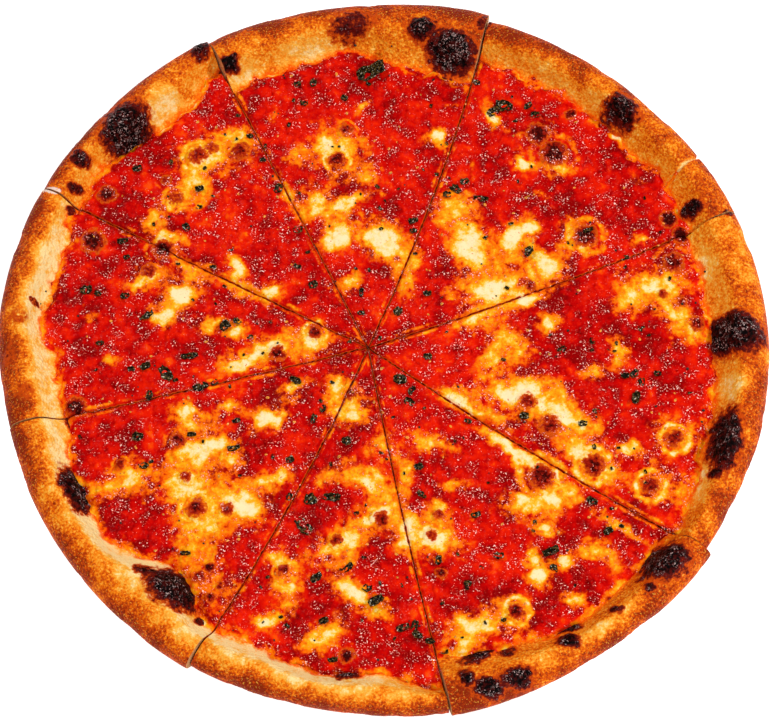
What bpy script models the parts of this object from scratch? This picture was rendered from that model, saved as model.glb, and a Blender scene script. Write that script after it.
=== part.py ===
"""Margherita pizza, baked whole and cut into eight slices that still lie together.

Each slice is a wedge of dough with a raised, blistered rim, a layer of crushed tomato that ends
at the foot of the rim, and pools of melted mozzarella that fill openings in the tomato.
Dried herb flakes stand on the tomato and belong to it.

The pizza rests on z = 0 with its middle at the origin, and slice 1 is the one at the upper right
as seen from above. Lengths here are in millimetres and become metres where a mesh is made.
"""

import math
from collections import namedtuple

import bmesh
import bpy
from mathutils import Matrix, Vector, noise

MM = 0.001

# Whole pizza
RIM_RADIUS = 166.0
CUT_CENTRE = Vector((-6.8, -2.6))
CUT_WIDTH = 0.9
TIP_WIDTH = 1.4
STATION_STEP_DEG = 3.2

# Dough
DOUGH_THICKNESS = 4.0
CREST_AT = 0.46
SIDE_HEIGHT = 0.42
UNDERCUT = 0.50
RIM_RIPPLE = 0.9
RIM_RIPPLE_LENGTH = 16.0
CUT_PRESS = 0.10
CUT_PRESS_DEG = 3.0
FLAT_SHARES = (0.0, 0.25, 0.5, 0.75)

# Tomato and mozzarella
LAYER_GAP = 0.3
SAUCE_THICKNESS = 2.3
SAUCE_EDGE_THICKNESS = 0.9
SAUCE_EDGE_TAPER = 9.0
SAUCE_LUMP = 0.8
SAUCE_LUMP_LENGTH = 13.0
SAUCE_RINGS = 9
POOL_SIDES = 12
POOL_WALL = 2.2
POOL_DOME = 0.9
POOL_LOBE = 0.13
POOL_GAP = 0.4
WELD = 0.03

# Herb flakes
FLAKE_THICKNESS = 0.9
FLAKE_SINK = 0.3
FLAKE_CURL = 0.35

Finish = namedtuple("Finish", "colour roughness")
BAKED_DOUGH = Finish((0.62, 0.30, 0.09), 0.75)
TOMATO = Finish((0.62, 0.02, 0.01), 0.35)
MOZZARELLA = Finish((0.93, 0.66, 0.27), 0.45)

# A cut bends a little on its way out, so it has a direction near the tips and one at the rim.
Cut = namedtuple("Cut", "tip_deg rim_deg")
CUTS = [
    Cut(18.5, 21.2),
    Cut(66.0, 71.0),
    Cut(116.0, 116.3),
    Cut(153.0, 152.6),
    Cut(194.8, 193.8),
    Cut(248.0, 242.3),
    Cut(280.0, 282.0),
    Cut(323.8, 326.9),
]

# Each slice's rim, read anticlockwise from its first cut to its second at even steps
Rim = namedtuple("Rim", "radii widths heights")
RIMS = [
    Rim([167.2, 164.1, 164.6], [23, 21.5, 21, 21.5, 20], [15, 16.5, 15]),
    Rim([167.5, 165.2, 166.6], [36, 34, 23, 25.5, 27], [17, 16, 15.5]),
    Rim([167.8, 166.8, 168.0], [16, 24, 23, 18, 19], [14.5, 17, 14]),
    Rim([168.4, 167.8, 165.0], [19, 23, 19.5, 25, 25], [14, 15.5, 15]),
    Rim([165.3, 165.3, 166.4], [26, 21, 20.5, 33, 21], [15, 16, 17]),
    Rim([164.6, 164.2, 165.6], [20, 20, 15.5, 19, 12], [14.5, 15.5, 12.5]),
    Rim([167.2, 165.6, 167.8], [27, 23, 17.5, 20, 22], [15, 14.5, 16]),
    Rim([164.8, 167.0, 167.0], [16.5, 21, 24, 26, 27], [14.5, 17, 15.5]),
]

# Bubbles that rose in the rim and charred: middle, size along and across, turn and rise
Blister = namedtuple("Blister", "x y long wide turn_deg rise")
BLISTERS = [
    Blister(-115, 100, 27, 23, 50, 4.0),
    Blister(17, 149, 15, 12, 0, 3.0),
    Blister(32, 140, 25, 20, -20, 4.5),
    Blister(152, 2, 27, 23, 0, 4.5),
    Blister(144, -48, 30, 18, 78, 3.5),
    Blister(117, -102, 24, 21, 40, 4.5),
    Blister(50, -151, 26, 13, 20, 3.0),
    Blister(41, -139, 22, 14, 35, 2.5),
    Blister(-87, -112, 30, 24, -25, 5.0),
    Blister(-130, -68, 25, 16, -70, 3.0),
    Blister(-131, -33, 14, 12, 0, 2.5),
    Blister(-131, 49, 15, 12, 60, 2.5),
    Blister(106, 108, 19, 15, -45, 3.0),
    Blister(136, 62, 13, 11, 0, 2.0),
    Blister(-83, 139, 14, 12, 30, 2.0),
    Blister(-15, -147, 12, 10, 0, 2.0),
    Blister(76, -131, 14, 13, 0, 2.0),
]

# Pools of mozzarella, slice by slice: middle, size along and across, and turn
Pool = namedtuple("Pool", "x y long wide turn_deg")
POOLS = [
    [Pool(38, 48, 25, 14, 108), Pool(50, 27, 22, 11, 12), Pool(61, 52, 13, 10, 60), Pool(75, 38, 14, 11, -30)],
    [Pool(-22, 94, 19, 17, 0), Pool(-20, 50, 15, 11, 70), Pool(0, 48, 18, 14, 120), Pool(22.5, 98, 10, 8, 0)],
    [Pool(-79, 88, 25, 17, 35), Pool(-93, 54, 11, 10, 0), Pool(-62, 39, 14, 6.5, 105)],
    [Pool(-90, 18, 24, 13, 28), Pool(-60, -8.5, 16, 7, 12), Pool(-31, 1, 11, 9.5, 0), Pool(-108, 32, 13, 7, 20)],
    [Pool(-80, -49, 22, 10, 20), Pool(-83, -69, 20, 15, -15), Pool(-60, -77, 16, 14, 0), Pool(-48, -40, 12, 9, 0)],
    [Pool(-6, -85, 21, 12, 40), Pool(-11, -65, 14, 7.5, -25), Pool(-13, -112, 18, 10, -30), Pool(-42, -105, 14, 12, 0)],
    [Pool(55, -58, 26, 7, -36), Pool(62, -76, 16, 12, -10), Pool(22, -87, 18, 11, 15), Pool(37, -122, 18, 8, 15)],
    [Pool(58, -24, 23, 14, 0), Pool(78, -43, 23, 11, -15), Pool(118, 18, 21, 15, 20), Pool(91, -57, 12, 11, 0),
     Pool(122, -45, 11, 11, 0)],
]

# The largest herb flakes, slice by slice: middle, length and turn
Flake = namedtuple("Flake", "x y long turn_deg")
FLAKES = [
    [Flake(52, 116, 8, 40), Flake(33, 84, 5, 20), Flake(10, 19, 5, 80)],
    [Flake(-8, 131, 12, 25), Flake(-36, 118, 5, 70)],
    [Flake(-80, 70, 6, 35), Flake(-47, 39, 5, 10)],
    [Flake(-118, 22, 5, 30), Flake(-93, -9, 8, -60), Flake(-79, -15, 7, 40), Flake(-70, 9, 6, 60)],
    [Flake(-108, -42, 5, 0), Flake(-52, -27, 5, 60)],
    [Flake(-23, -67, 7, 0), Flake(-29, -76, 6, 70), Flake(-36, -80, 7, -50), Flake(3, -127, 6, 20)],
    [Flake(8, -20, 6, -20), Flake(71, -91, 8, 25), Flake(97, -82, 5, 0)],
    [Flake(109, -24, 6, 70), Flake(77, -2, 6, 55), Flake(31, -7, 5, 30)],
]


def clear_scene():
    for obj in list(bpy.data.objects):
        bpy.data.objects.remove(obj, do_unlink=True)


def material(name, finish):
    made = bpy.data.materials.new(name)
    made.use_nodes = True
    shader = made.node_tree.nodes["Principled BSDF"]
    shader.inputs["Base Color"].default_value = (*finish.colour, 1.0)
    shader.inputs["Roughness"].default_value = finish.roughness
    shader.inputs["Metallic"].default_value = 0.0
    return made


def mix(a, b, share):
    return a + (b - a) * share


def smooth_step(share):
    share = min(1.0, max(0.0, share))
    return share * share * (3.0 - 2.0 * share)


def read_evenly(values, share):
    """A smooth reading of values that stand at even steps from share 0 to share 1."""
    place = min(max(share, 0.0), 1.0) * (len(values) - 1)
    first = min(int(place), len(values) - 2)
    return mix(values[first], values[first + 1], smooth_step(place - first))


def cut_angle(cut, radius):
    return math.radians(mix(cut.tip_deg, cut.rim_deg, radius / RIM_RADIUS))


class Slice:
    """Where things are on one slice, by its share across and the distance from where the cuts meet."""

    def __init__(self, number):
        self.number = number
        self.first = CUTS[number - 1]
        self.second = CUTS[number % len(CUTS)]
        if self.second.rim_deg < self.first.rim_deg:
            self.second = Cut(self.second.tip_deg + 360.0, self.second.rim_deg + 360.0)
        self.rim = RIMS[number - 1]
        self.degrees = self.second.rim_deg - self.first.rim_deg
        self.spans = round(self.degrees / STATION_STEP_DEG)
        half_angle = math.radians(self.second.tip_deg - self.first.tip_deg) / 2
        self.tip_radius = (CUT_WIDTH + TIP_WIDTH) / 2 / math.sin(half_angle)

    def angle(self, across, radius, margin=0.0):
        inset = math.asin(min(1.0, (CUT_WIDTH / 2 + margin) / radius))
        low = cut_angle(self.first, radius) + inset
        high = cut_angle(self.second, radius) - inset
        return mix(low, high, across)

    def place(self, across, radius, z, margin=0.0):
        angle = self.angle(across, radius, margin)
        return Vector((
            CUT_CENTRE.x + radius * math.cos(angle),
            CUT_CENTRE.y + radius * math.sin(angle),
            z,
        ))

    def outer_radius(self, across):
        """From where the cuts meet to the outermost line of the rim."""
        angle = self.angle(across, RIM_RADIUS)
        along = CUT_CENTRE.x * math.cos(angle) + CUT_CENTRE.y * math.sin(angle)
        reach = read_evenly(self.rim.radii, across)
        return -along + math.sqrt(along * along - CUT_CENTRE.length_squared + reach * reach)

    def rim_width(self, across):
        return read_evenly(self.rim.widths, across)

    def rim_height(self, across):
        """The rim's height, pressed down where the cutter rolled over it."""
        from_cut = self.degrees * min(across, 1.0 - across)
        press = CUT_PRESS * (1.0 - smooth_step(from_cut / CUT_PRESS_DEG))
        return read_evenly(self.rim.heights, across) * (1.0 - press)


def bump(x, y, feature):
    """1 in the middle of an oval feature, falling smoothly to 0 at its edge."""
    turn = math.radians(feature.turn_deg)
    dx = x - feature.x
    dy = y - feature.y
    along = (dx * math.cos(turn) + dy * math.sin(turn)) / (feature.long / 2)
    across = (dy * math.cos(turn) - dx * math.sin(turn)) / (feature.wide / 2)
    return 1.0 - smooth_step(math.hypot(along, across))


def rim_relief(point):
    ripple = RIM_RIPPLE * noise.noise(point / RIM_RIPPLE_LENGTH)
    blister = max(spot.rise * bump(point.x, point.y, spot) for spot in BLISTERS)
    return ripple + blister


def loft(bm, stations, rungs=0):
    """Joins closed rings of equal length into one closed body.

    An end is closed like a ladder: its first corners pair with its last ones, one face for each
    rung, and one face closes what is left.
    """
    rings = [[bm.verts.new(point * MM) for point in ring] for ring in stations]
    count = len(rings[0])
    for ring, after in zip(rings, rings[1:]):
        for i in range(count):
            j = (i + 1) % count
            bm.faces.new((ring[i], ring[j], after[j], after[i]))
    for ring in (rings[0], rings[-1]):
        for i in range(rungs):
            bm.faces.new((ring[i], ring[i + 1], ring[-2 - i], ring[-1 - i]))
        rest = ring[rungs:count - rungs]
        if len(rest) > 2:
            bm.faces.new(rest)


def finished_object(name, bm, skin):
    bmesh.ops.triangulate(bm, faces=bm.faces[:], quad_method="BEAUTY", ngon_method="BEAUTY")
    bmesh.ops.recalc_face_normals(bm, faces=bm.faces[:])
    mesh = bpy.data.meshes.new(name)
    bm.to_mesh(mesh)
    bm.free()
    mesh.shade_smooth()
    mesh.set_sharp_from_angle(angle=math.radians(40))
    mesh.materials.append(skin)
    obj = bpy.data.objects.new(name, mesh)
    bpy.context.scene.collection.objects.link(obj)
    return obj


def rim_section(width, height):
    """The rim cut across, as (inset from the outermost line, height, relief outwards, relief upwards).

    It runs from the foot of the outer side, round the bulging side and over the crest, to the
    foot of the inner slope. The last two values say how much of the blisters shows there.
    """
    section = []
    half_width = CREST_AT * width
    side = SIDE_HEIGHT * height
    undercut = UNDERCUT * height
    lowest = math.asin(side / undercut)
    for share in (1.0, 0.5):
        turn = lowest * share
        inset = half_width * (1.0 - math.cos(turn))
        section.append((inset, side - undercut * math.sin(turn), 0.5 * (1.0 - share), 0.0))
    for share in (0.0, 0.25, 0.5, 0.75, 1.0):
        turn = math.pi / 2 * share
        inset = half_width * (1.0 - math.cos(turn))
        z = side + (height - side) * math.sin(turn)
        section.append((inset, z, 0.5 * math.cos(turn), math.sin(turn)))
    for share, relief in ((0.25, 1.0), (0.5, 0.9), (0.75, 0.6), (1.0, 0.0)):
        fall = 0.5 + 0.5 * math.cos(math.pi * share)
        section.append((mix(half_width, width, share), mix(DOUGH_THICKNESS, height, fall), 0.0, relief))
    return section


def make_crust(piece, skin):
    stations = []
    for i in range(piece.spans + 1):
        across = i / piece.spans
        outer = piece.outer_radius(across)
        foot = outer - piece.rim_width(across)
        flat = [mix(piece.tip_radius, foot, share) for share in FLAT_SHARES]
        ring = [piece.place(across, radius, 0.0) for radius in flat]
        for inset, z, outwards, upwards in rim_section(piece.rim_width(across), piece.rim_height(across)):
            lift = rim_relief(piece.place(across, outer - inset, z))
            ring.append(piece.place(across, outer - inset + outwards * lift, z + upwards * lift))
        ring += [piece.place(across, radius, DOUGH_THICKNESS) for radius in flat[::-1]]
        stations.append(ring)
    bm = bmesh.new()
    loft(bm, stations, rungs=len(FLAT_SHARES) - 1)
    return finished_object(f"crust_{piece.number}", bm, skin)


def sauce_top(point, from_edge):
    full = mix(SAUCE_EDGE_THICKNESS, SAUCE_THICKNESS, smooth_step(from_edge / SAUCE_EDGE_TAPER))
    lump = SAUCE_LUMP * noise.noise(point / SAUCE_LUMP_LENGTH) * smooth_step(from_edge / SAUCE_EDGE_TAPER)
    return DOUGH_THICKNESS + LAYER_GAP + full + lump


def make_sauce(piece, skin):
    floor = DOUGH_THICKNESS + LAYER_GAP
    stations = []
    for i in range(piece.spans + 1):
        across = i / piece.spans
        edge = piece.outer_radius(across) - piece.rim_width(across) - LAYER_GAP
        tip = piece.tip_radius + LAYER_GAP
        under = []
        for j in range(SAUCE_RINGS + 1):
            radius = mix(edge, tip, (1.0 - j / SAUCE_RINGS) ** 1.15)
            under.append(piece.place(across, radius, floor, LAYER_GAP))
        over = [Vector((p.x, p.y, sauce_top(p, (p - under[-1]).length))) for p in under]
        stations.append(under + over[::-1])
    bm = bmesh.new()
    loft(bm, stations, rungs=SAUCE_RINGS)
    return finished_object(f"sauce_{piece.number}", bm, skin)


def pool_outline(pool, grow=0.0):
    """The lobed outline of a pool, widened all round by grow."""
    turn = math.radians(pool.turn_deg)
    points = []
    for i in range(POOL_SIDES):
        phase = 2 * math.pi * i / POOL_SIDES
        lobe = 1.0 + POOL_LOBE * math.sin(3 * phase + pool.x) * math.cos(phase - pool.y)
        along = (pool.long / 2 * lobe + grow) * math.cos(phase)
        aside = (pool.wide / 2 * lobe + grow) * math.sin(phase)
        points.append(Vector((
            pool.x + along * math.cos(turn) - aside * math.sin(turn),
            pool.y + along * math.sin(turn) + aside * math.cos(turn),
            0.0,
        )))
    return points


def ring_at(outline, middle, scale, z):
    return [Vector((mix(middle.x, p.x, scale), mix(middle.y, p.y, scale), z)) for p in outline]


def make_pool(name, pool, skin):
    outline = pool_outline(pool)
    floor = DOUGH_THICKNESS + LAYER_GAP
    bm = bmesh.new()
    loft(bm, [
        ring_at(outline, pool, 1.0, floor),
        ring_at(outline, pool, 1.0, floor + POOL_WALL - POOL_DOME / 2),
        ring_at(outline, pool, 0.8, floor + POOL_WALL + POOL_DOME / 2),
        ring_at(outline, pool, 0.35, floor + POOL_WALL + POOL_DOME),
    ])
    return finished_object(name, bm, skin)


def make_pool_cutter(pool, skin):
    outline = pool_outline(pool, POOL_GAP)
    bm = bmesh.new()
    loft(bm, [
        ring_at(outline, pool, 1.0, DOUGH_THICKNESS - 1.0),
        ring_at(outline, pool, 1.0, DOUGH_THICKNESS + 10.0),
    ])
    return finished_object("pool_cutter", bm, skin)


def make_flake(flake, height, skin):
    """A curled six-sided leaf flake, sunk a little into the tomato under it."""
    turn = math.radians(flake.turn_deg)
    half = flake.long / 2
    outline = [(-1.0, 0.1), (-0.4, 0.45), (0.45, 0.5), (1.0, -0.05), (0.5, -0.5), (-0.5, -0.4)]
    rings = []
    for side in (0.0, 1.0):
        ring = []
        for along, aside in outline:
            curl = FLAKE_CURL * along * along
            x = flake.x + half * (along * math.cos(turn) - aside * math.sin(turn))
            y = flake.y + half * (along * math.sin(turn) + aside * math.cos(turn))
            ring.append(Vector((x, y, height - FLAKE_SINK + curl + side * FLAKE_THICKNESS)))
        rings.append(ring)
    bm = bmesh.new()
    loft(bm, rings)
    return finished_object("flake", bm, skin)


def surface_height(obj, x, y):
    """Height of obj's upper surface over a place, in millimetres."""
    hit, point, _, _ = obj.ray_cast(Vector((x, y, 60.0)) * MM, Vector((0, 0, -1)))
    if not hit:
        raise ValueError(f"nothing of {obj.name} is under {x}, {y}")
    return point.z / MM


def combine(obj, others, operation):
    """Cuts the others from obj or joins them to it, applies that, and removes them.

    Corners that the Boolean leaves closer than WELD are made one.
    """
    group = bpy.data.collections.new("group")
    bpy.context.scene.collection.children.link(group)
    for other in others:
        bpy.context.scene.collection.objects.unlink(other)
        group.objects.link(other)
    modifier = obj.modifiers.new(operation.lower(), "BOOLEAN")
    modifier.operation = operation
    modifier.operand_type = "COLLECTION"
    modifier.collection = group
    modifier.solver = "EXACT"
    bpy.context.view_layer.update()
    graph = bpy.context.evaluated_depsgraph_get()
    bm = bmesh.new()
    bm.from_object(obj, graph)
    bmesh.ops.remove_doubles(bm, verts=bm.verts[:], dist=WELD * MM)
    bm.to_mesh(obj.data)
    bm.free()
    obj.modifiers.clear()
    for other in others:
        bpy.data.objects.remove(other, do_unlink=True)
    bpy.data.collections.remove(group)
    bpy.context.view_layer.update()


def build():
    clear_scene()
    dough_skin = material("baked_dough", BAKED_DOUGH)
    tomato_skin = material("tomato", TOMATO)
    cheese_skin = material("mozzarella", MOZZARELLA)
    for number in range(1, len(CUTS) + 1):
        piece = Slice(number)
        make_crust(piece, dough_skin)
        sauce = make_sauce(piece, tomato_skin)
        pools = POOLS[number - 1]
        combine(sauce, [make_pool_cutter(pool, tomato_skin) for pool in pools], "DIFFERENCE")
        flakes = []
        for flake in FLAKES[number - 1]:
            height = surface_height(sauce, flake.x, flake.y)
            flakes.append(make_flake(flake, height, tomato_skin))
        combine(sauce, flakes, "UNION")
        for letter, pool in zip("abcde", pools):
            make_pool(f"cheese_{number}{letter}", pool, cheese_skin)


build()
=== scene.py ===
"""The looks of a margherita pizza, cut into eight slices that lie together.

Every slice is two pieces: its dough with the blistered rim, and its topping of crushed tomato
with mozzarella melted into it. Dried herbs, ground pepper and tomato seeds lie on top.
Lengths are in millimetres in the pizza's own frame, and become metres where a mesh is made.
"""

import math
from collections import namedtuple

import bpy
import numpy as np
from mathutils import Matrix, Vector


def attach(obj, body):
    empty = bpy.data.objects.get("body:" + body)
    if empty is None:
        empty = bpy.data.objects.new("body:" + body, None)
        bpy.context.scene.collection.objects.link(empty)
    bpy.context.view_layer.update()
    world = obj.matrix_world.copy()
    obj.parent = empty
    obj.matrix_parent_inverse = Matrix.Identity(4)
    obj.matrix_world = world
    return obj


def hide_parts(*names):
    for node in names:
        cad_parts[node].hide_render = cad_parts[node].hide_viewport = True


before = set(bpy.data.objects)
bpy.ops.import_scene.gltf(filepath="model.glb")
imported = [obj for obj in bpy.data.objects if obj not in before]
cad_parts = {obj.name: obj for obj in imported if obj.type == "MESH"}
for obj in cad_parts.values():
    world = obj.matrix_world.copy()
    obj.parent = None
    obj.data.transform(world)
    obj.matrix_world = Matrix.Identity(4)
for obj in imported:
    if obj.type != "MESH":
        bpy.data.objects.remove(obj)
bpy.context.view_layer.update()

MM = 0.001
FINENESS = 1.0

# Whole pizza, as in the part's source, with the cuts a little narrower at the bottom
RIM_RADIUS = 166.0
CUT_CENTRE = (-6.8, -2.6)
CUT_WIDTH = 0.9
CUT_FLOOR = 0.15
TOPPING_GAP = 0.36
TIP_RADIUS = 0.5
DOUGH_THICKNESS = 4.0
CREST_AT = 0.46
SIDE_HEIGHT = 0.42
UNDERCUT = 0.50
CUT_PRESS = 0.10
CUT_PRESS_DEG = 3.0
SKIN_CLEARANCE = 0.15
# Above this height the relief is softened, to stay under the solid's highest blister.
SOFT_TOP = 18.6
SOFTENED = 0.4

# Baked skin: broad swellings, pores, burnt domes with their cracks, and mottled browning
SWELL = 1.1
SWELL_SIZE = 16.0
PORE = 0.30
PORE_SIZE = 2.6
BURNT_DOME = 1.1
CRACK_SIZE = 2.4
MOTTLE = 0.52
MOTTLE_SIZE = 15.0

# Slit in the rim beside the first cut
SLIT_DEPTH = 2.2
SLIT_HALF_WIDTH = 1.1
SLIT_BROWNING = -0.1

# Where the browning changes, by the share of the way round the rim from its side to its foot
OUTER_TO_CREST = (0.15, 0.54)
CREST_TO_INNER = (0.50, 0.72)
# The foot of the inner slope, next to the sauce, is made darker
FOOT_BAND = (0.84, 1.0)
FOOT_BAND_DARKENING = 0.24

# Topping: its depth, how far it sinks at its edge, and how far the cuts press it down
SAUCE_DEPTH = 2.3
SAUCE_EDGE = -1.2
SAUCE_OVERHANG = 8.0
TOPPING_TIP = 0.7
TOPPING_GIRTH_RADIUS = RIM_RADIUS - 20
TOPPING_LENGTH = RIM_RADIUS - 15
TOPPING_FLOOR = DOUGH_THICKNESS - 0.2
# This far within the reach of the topping's mesh, the sauce is on top.
SAUCE_COVERED = 6.0
LUMP_RISE = 1.8
LARGE_LUMP = 3.4
SMALL_LUMP = 1.9
CUT_DIP = 1.1
CUT_DIP_WIDTH = 0.7
PRESSED_AT = 1.5
PRESSED_WIDTH = 1.2

# Toasted bubbles: how high they and the paler rings round them rise
BUBBLE_RISE = 1.5
RING_RISE = 0.4
# Where the rings are and how wide, in the bubbles' own radii
RING_AT = 1.45
RING_WIDTH = 0.42
RING_CREST_AT = 1.55
RING_CREST_WIDTH = 0.25

# Small things scattered over the topping: how many, and their sizes
SCATTER_RADIUS = 138.0
PEPPER_RADIUS = 146.0
HUDDLE_SIZE = 26.0
SMALL_FLAKES = 120
SMALL_FLAKE = (1.7, 1.1)
PEPPER_GRAINS = 80
PEPPER_GRAIN = 1.15
LARGE_GRAIN = 1.35
SEEDS = 230
SEED = (1.5, 1.05, 0.6)
# How far their middles are above the pizza
FLAKE_LIFT = 0.15
PEPPER_LIFT = 0.1
SEED_LIFT = 0.05

# Mesh steps, and the angle up to which a joint between faces is smooth
DOUGH_STEP = 0.62 * FINENESS
TOPPING_STEP = 0.60 * FINENESS
SMOOTH_UP_TO = math.radians(50)

Cut = namedtuple("Cut", "tip_deg rim_deg")
CUTS = [
    Cut(18.5, 21.2),
    Cut(66.0, 71.0),
    Cut(116.0, 116.3),
    Cut(153.0, 152.6),
    Cut(194.8, 193.8),
    Cut(248.0, 242.3),
    Cut(280.0, 282.0),
    Cut(323.8, 326.9),
]

# Each slice's rim, read anticlockwise from its first cut to its second at even steps. The last
# three lists say how brown it is on its outer side, on its crest and on its inner slope.
Rim = namedtuple("Rim", "radii widths heights outer crest inner")
RIMS = [
    Rim([167.2, 164.1, 164.6], [23, 21.5, 21, 21.5, 20], [15, 16.5, 15],
        [0.70, 0.68, 0.72, 0.92], [0.60, 0.62, 0.54, 0.72], [0.46, 0.36, 0.32, 0.32]),
    Rim([167.5, 165.2, 166.6], [36, 34, 23, 25.5, 27], [17, 16, 15.5],
        [1.05, 0.98, 0.96, 1.00], [0.68, 0.60, 0.54, 0.54], [0.48, 0.42, 0.40, 0.34]),
    Rim([167.8, 166.8, 168.0], [16, 24, 23, 18, 19], [14.5, 17, 14],
        [0.98, 0.92, 1.00, 0.98], [0.56, 0.42, 0.48, 0.50], [0.36, 0.28, 0.32, 0.34]),
    Rim([168.4, 167.8, 165.0], [19, 23, 19.5, 25, 25], [14, 15.5, 15],
        [0.98, 0.98, 0.96, 0.94], [0.52, 0.46, 0.54, 0.58], [0.14, 0.00, 0.06, 0.12]),
    Rim([165.3, 165.3, 166.4], [26, 21, 20.5, 33, 21], [15, 16, 17],
        [0.92, 0.86, 0.88, 0.90], [0.52, 0.38, 0.24, 0.34], [0.10, -0.02, -0.06, 0.00]),
    Rim([164.6, 164.2, 165.6], [20, 20, 15.5, 19, 12], [14.5, 15.5, 12.5],
        [0.94, 0.98, 0.96, 0.94], [0.36, 0.20, 0.24, 0.52], [0.00, -0.04, 0.04, 0.40]),
    Rim([167.2, 165.6, 167.8], [27, 23, 17.5, 20, 22], [15, 14.5, 16],
        [0.86, 0.80, 0.72, 0.84], [0.58, 0.46, 0.46, 0.60], [0.48, 0.46, 0.50, 0.50]),
    Rim([164.8, 167.0, 167.0], [16.5, 21, 24, 26, 27], [14.5, 17, 15.5],
        [0.76, 0.70, 0.60, 0.62], [0.64, 0.60, 0.56, 0.54], [0.52, 0.46, 0.36, 0.34]),
]

# Bubbles that rose in the rim: middle, size along and across, turn and rise
Blister = namedtuple("Blister", "x y long wide turn_deg rise")
BLISTERS = [Blister(*row) for row in [
    (-115, 100, 27, 23, 50, 4.0), (17, 149, 15, 12, 0, 3.0), (32, 140, 25, 20, -20, 4.5),
    (152, 2, 27, 23, 0, 4.5), (144, -48, 30, 18, 78, 3.5), (117, -102, 24, 21, 40, 4.5),
    (50, -151, 26, 13, 20, 3.0), (41, -139, 22, 14, 35, 2.5), (-87, -112, 30, 24, -25, 5.0),
    (-130, -68, 25, 16, -70, 3.0), (-131, -33, 14, 12, 0, 2.5), (-131, 49, 15, 12, 60, 2.5),
    (106, 108, 19, 15, -45, 3.0), (136, 62, 13, 11, 0, 2.0), (-83, 139, 14, 12, 30, 2.0),
    (-15, -147, 12, 10, 0, 2.0), (76, -131, 14, 13, 0, 2.0),
]]

# A smear of raw flour beside a cut, and the line of the slit
FLOUR_SMEAR = Blister(-147, 70, 10, 3.6, -20, 0.0)
SLIT = [(146.5, 91.5), (142.5, 88.5), (136.5, 84.6), (130.1, 79.1), (125.0, 74.2)]

# Where the rim charred: middle, size along and across, turn, and how black
Char = namedtuple("Char", "x y long wide turn_deg black")
CHARS = [Char(*row) for row in [
    (-115, 100, 23, 18, 60, 1.0), (-83, 139, 11, 8, 60, 0.8), (-135, 85, 9, 7, -30, 0.75),
    (-137, 72, 6, 5, 0, 0.7), (-117, 68, 9, 8, -60, 0.8), (-70, 133, 9, 7, 0, 0.95),
    (17, 149, 12, 10, 0, 1.0), (31, 139, 21, 15, -15, 1.0), (-15, 152, 19, 12, 20, 0.56),
    (106, 108, 16, 12, -35, 0.85), (136, 62, 9, 7, 0, 0.85), (126, 58, 8, 5, -40, 0.8),
    (130, 50, 9, 5, -60, 0.8), (151, 1, 24, 17, -15, 1.0), (145, -48, 27, 12, 80, 1.0),
    (140, -63, 6, 5, 0, 0.85), (117, -101, 19, 15, 30, 1.0), (54, -151, 13, 8, 20, 0.9),
    (43, -155, 12, 8, 0, 0.95), (34, -151, 8, 6, -60, 0.85), (41, -137, 20, 8, 35, 0.86),
    (51, -138, 10, 5, 20, 0.55), (76, -128, 11, 4, 10, 0.8), (76, -135, 9, 7, 0, 0.85),
    (96, -122, 6, 4, 0, 0.7), (-87, -112, 22, 16, -25, 1.0), (-98, -105, 12, 6, -20, 0.6),
    (-78, -108, 12, 7, -50, 0.72), (-130, -68, 20, 11, -65, 0.95), (-131, -32, 13, 9, 60, 0.95),
    (-131, 49, 11, 9, -20, 0.88), (-15, -147, 9, 6, 20, 0.85), (25, 129, 13, 7, -10, 0.45),
    (46, 154, 7, 12, -40, 0.55), (152, 59, 5, 3, 0, 0.7), (-139, 62, 4, 4, 0, 0.55),
    (-135, 43, 5, 4, 0, 0.65), (-130, 42, 3, 4, 0, 0.55), (-152, 17, 3, 3, 0, 0.5),
    (-158, 8, 7, 9, 0, 0.24), (-161, -9, 6, 11, -10, 0.28), (-153, -26, 9, 8, 30, 0.24),
    (-96, -105, 4, 4, 0, 0.7), (-76, -105, 7, 3, -60, 0.65), (-72, -115, 4, 7, 10, 0.6),
    (-76, -125, 6, 4, 30, 0.6), (9, -148, 6, 5, 0, 0.4), (107, -108, 4, 4, 0, 0.6),
    (110, -113, 5, 4, 0, 0.65),
]]

# Paler and browner stretches of the rim: middle, size along and across, turn, and how much browner
Tone = namedtuple("Tone", "x y long wide turn_deg change")
TONES = [Tone(*row) for row in [
    (-100, 113, 26, 13, 45, -0.2), (-33, 140, 30, 12, 12, -0.32), (-63, 129, 16, 12, 30, -0.26),
    (51, 132, 14, 9, -25, -0.50), (79, 118, 34, 8, -38, -0.15), (138, 33, 12, 16, 0, -0.30),
    (125, 75, 14, 10, -50, -0.10), (150, -23, 14, 18, 0, -0.26), (133, -64, 12, 28, -15, -0.34),
    (89, -130, 26, 8, 25, -0.18), (-51, 149, 24, 8, 15, 0.14), (-91, 120, 9, 7, 0, 0.25),
    (-135, 98, 12, 16, -40, 0.30), (-149, 60, 12, 12, 0, 0.32), (-161, 23, 6, 14, 0, 0.20),
    (-160, -8, 6, 14, 0, 0.25), (64, 146, 24, 9, -20, 0.25), (82, 138, 16, 8, -30, 0.20),
    (86, 125, 12, 6, -40, 0.18), (29, 160, 30, 7, -10, 0.20), (153, 27, 8, 16, 0, 0.12),
    (-76, -112, 26, 22, -30, 0.75), (-124, 62, 10, 8, 0, 0.2), (-153, -31, 9, 12, 0, 0.30),
    (-139, -80, 10, 14, -30, 0.20), (119, 93, 18, 8, -45, 0.12),
]]

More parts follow.
